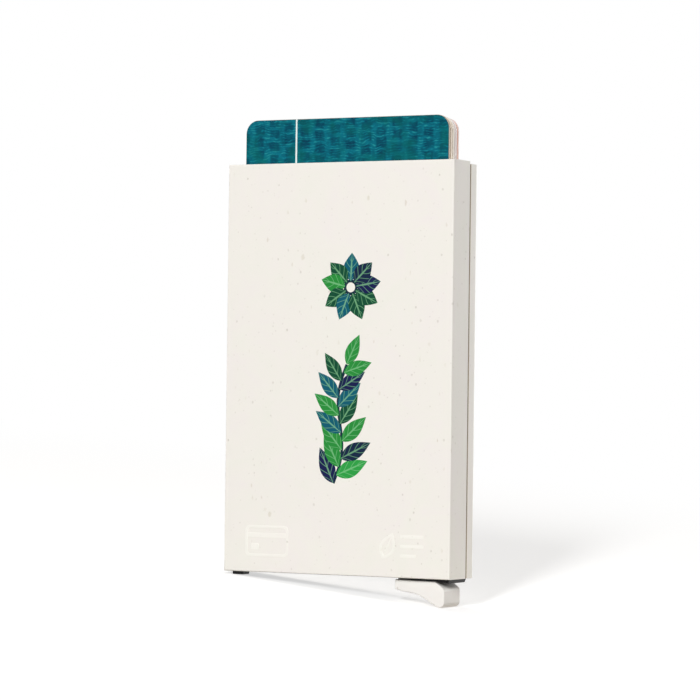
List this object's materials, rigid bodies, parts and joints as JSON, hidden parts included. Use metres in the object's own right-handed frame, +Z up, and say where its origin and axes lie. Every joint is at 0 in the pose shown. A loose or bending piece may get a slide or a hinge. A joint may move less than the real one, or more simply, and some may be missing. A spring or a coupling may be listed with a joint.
{
  "type": "pop-up card case",
  "caption": "Slim upright card case of two straw-plastic shells round a black chassis, with a corner lever that lifts a stack of cards out of the top.",
  "frame": {"origin": "middle of the chassis floor's underside, level with the shells' bottom edges", "axes": "+Z up towards the card mouth, -Y out of the front face, +X towards the lever's corner"},
  "size_m": [0.06, 0.012, 0.1124],
  "materials": {
    "straw_plastic": "matt cream with fine straw flecks",
    "black_nylon": "satin black moulding",
    "black_acetal": "satin black moulding",
    "shield_aluminium": "rolled sheet",
    "felt": "dense felt",
    "spring_steel": "rolled strip",
    "steel": "bright",
    "natural_nylon": "natural",
    "card_teal": "laminated print",
    "card_beige": "laminated print",
    "card_cream": "laminated print",
    "card_grey": "laminated print",
    "card_salmon": "laminated print"
  },
  "bodies": {
    "case": {"front_shell": "straw_plastic", "rear_cover": "straw_plastic", "chassis": "black_nylon", "front_shield": "shield_aluminium", "rear_shield": "shield_aluminium", "front_felt_pad": "felt", "rear_felt_pad": "felt", "pressure_spring_left": "spring_steel", "pressure_spring_right": "spring_steel", "chassis_screw_left": "steel", "chassis_screw_right": "steel", "lever_pin": "steel", "pivot_washer_front": "natural_nylon", "pivot_washer_rear": "natural_nylon"},
    "lever": {"lever_arm": "black_acetal", "lever_tab": "straw_plastic"},
    "card_one": {"card_1": "card_teal"},
    "card_two": {"card_2": "card_beige"},
    "card_three": {"card_3": "card_cream"},
    "card_four": {"card_4": "card_grey"},
    "card_five": {"card_5": "card_salmon"}
  },
  "joints": [
    {"name": "lever_hinge", "type": "hinge", "parent": "case", "child": "lever", "pos_m": [0.01, 0, 0.002], "axis": [0, 1, 0], "range_deg": [-19, 0]},
    {"name": "card_1_slide", "type": "slide", "parent": "case", "child": "card_one", "axis": [0, 0, 1], "range_m": [-0.01065, 0]},
    {"name": "card_2_slide", "type": "slide", "parent": "case", "child": "card_two", "axis": [0, 0, 1], "range_m": [-0.01065, 0]},
    {"name": "card_3_slide", "type": "slide", "parent": "case", "child": "card_three", "axis": [0, 0, 1], "range_m": [-0.01065, 0]},
    {"name": "card_4_slide", "type": "slide", "parent": "case", "child": "card_four", "axis": [0, 0, 1], "range_m": [-0.01065, 0]},
    {"name": "card_5_slide", "type": "slide", "parent": "case", "child": "card_five", "axis": [0, 0, 1], "range_m": [-0.01065, 0]}
  ],
  "couplings": [
    {"joint": "card_1_slide", "follows": "lever_hinge", "m_per_rad": 0.03195},
    {"joint": "card_2_slide", "follows": "lever_hinge", "m_per_rad": 0.03195},
    {"joint": "card_3_slide", "follows": "lever_hinge", "m_per_rad": 0.03195},
    {"joint": "card_4_slide", "follows": "lever_hinge", "m_per_rad": 0.03195},
    {"joint": "card_5_slide", "follows": "lever_hinge", "m_per_rad": 0.03195}
  ]
}
